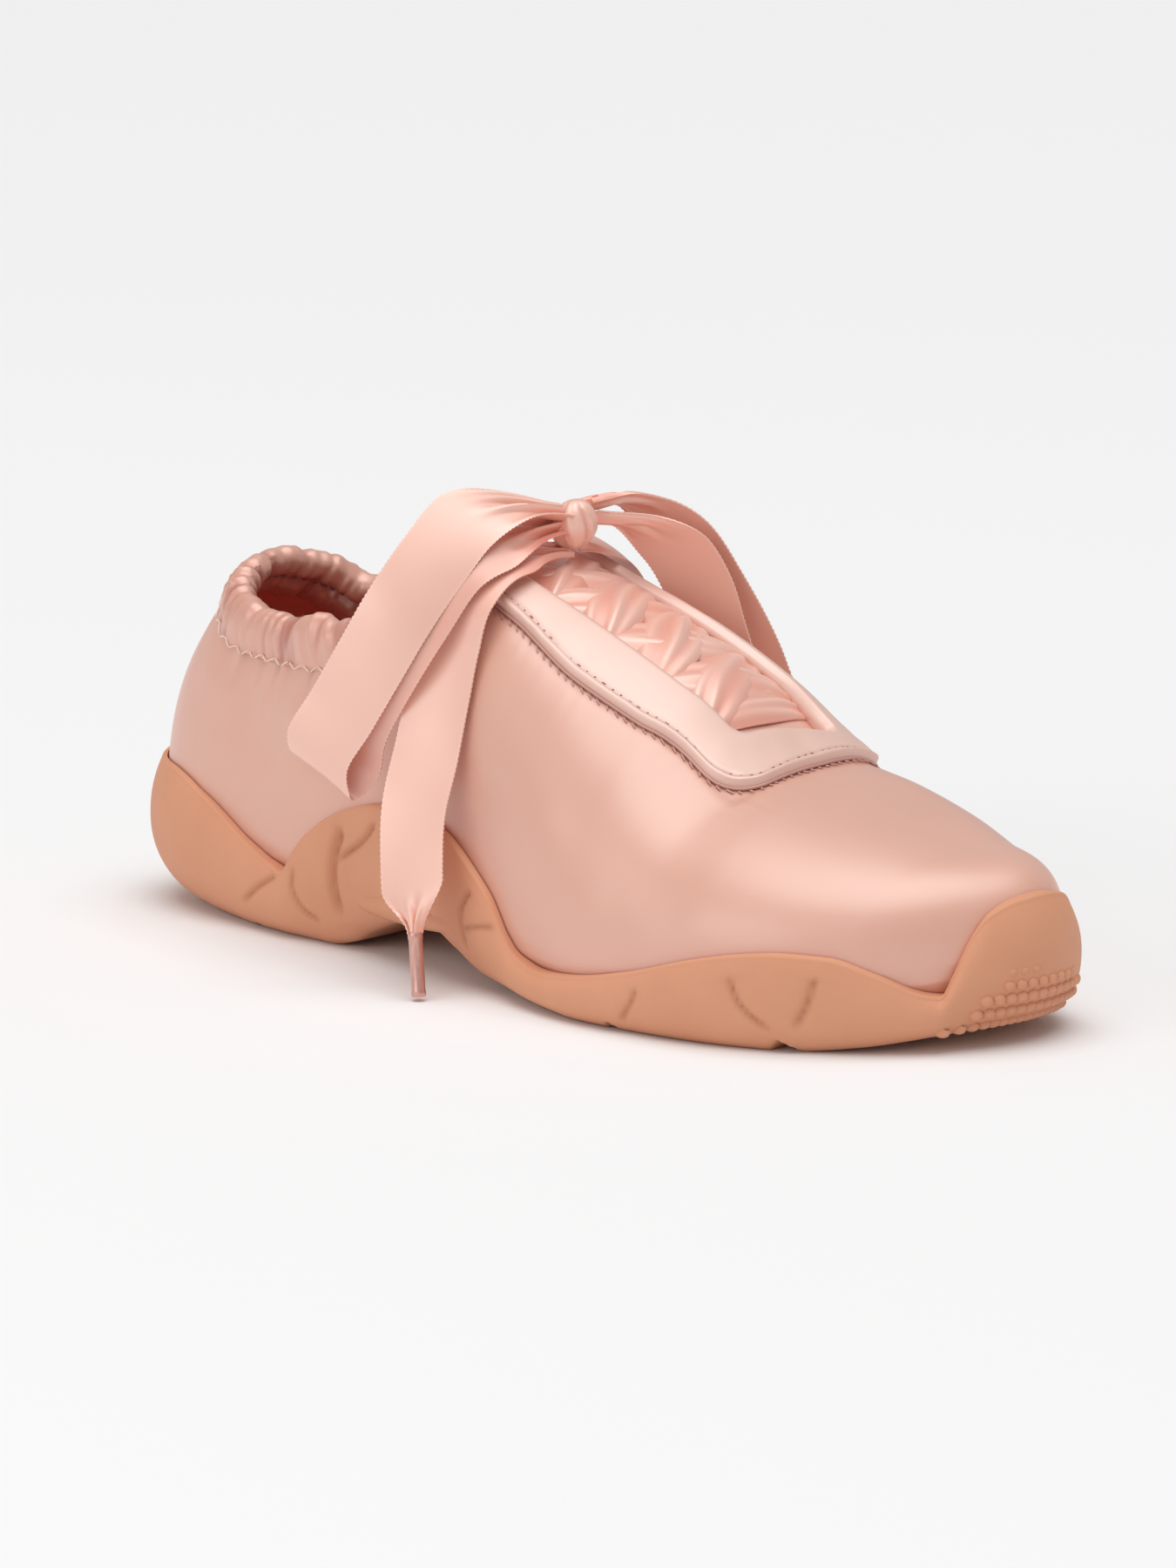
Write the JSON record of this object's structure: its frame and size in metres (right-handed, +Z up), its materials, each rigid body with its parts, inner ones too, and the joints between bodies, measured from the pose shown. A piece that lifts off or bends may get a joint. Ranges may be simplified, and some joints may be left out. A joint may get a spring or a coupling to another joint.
{
  "type": "ribbon-laced low sneaker",
  "caption": "Low right sneaker: satin upper over a one-piece moulded rubber sole, with an elastic collar, an open throat and a ribbon bow.",
  "frame": {"origin": "on the floor under the middle of the shoe, the bottom centre of its box without the bow", "axes": "+X towards the toe, +Y towards the medial side, +Z up"},
  "size_m": [0.2569, 0.1041, 0.107],
  "materials": {
    "sole_rubber": "matt, slightly waxy",
    "upper_satin": "smooth satin with a broad soft sheen",
    "eyestay_satin": "fine satin, duller than the upper",
    "cuff_satin": "satin gathered on an elastic",
    "tongue_satin": "smooth satin",
    "lining": "soft brushed lining",
    "ribbon": "glossy satin ribbon with a picot edge",
    "aglet_metal": "brushed rose metal"
  },
  "bodies": {
    "root": {"sole": "sole_rubber", "upper": "upper_satin", "eyestay": "eyestay_satin", "collar_cuff": "cuff_satin", "tongue": "tongue_satin", "insole": "lining", "lace_crossings": "ribbon", "bow_knot": "ribbon", "bow_loop_lateral": "ribbon", "bow_loop_medial": "ribbon", "tail_lateral": "ribbon", "tail_medial": "ribbon", "aglet_lateral": "aglet_metal", "aglet_medial": "aglet_metal"}
  },
  "joints": []
}
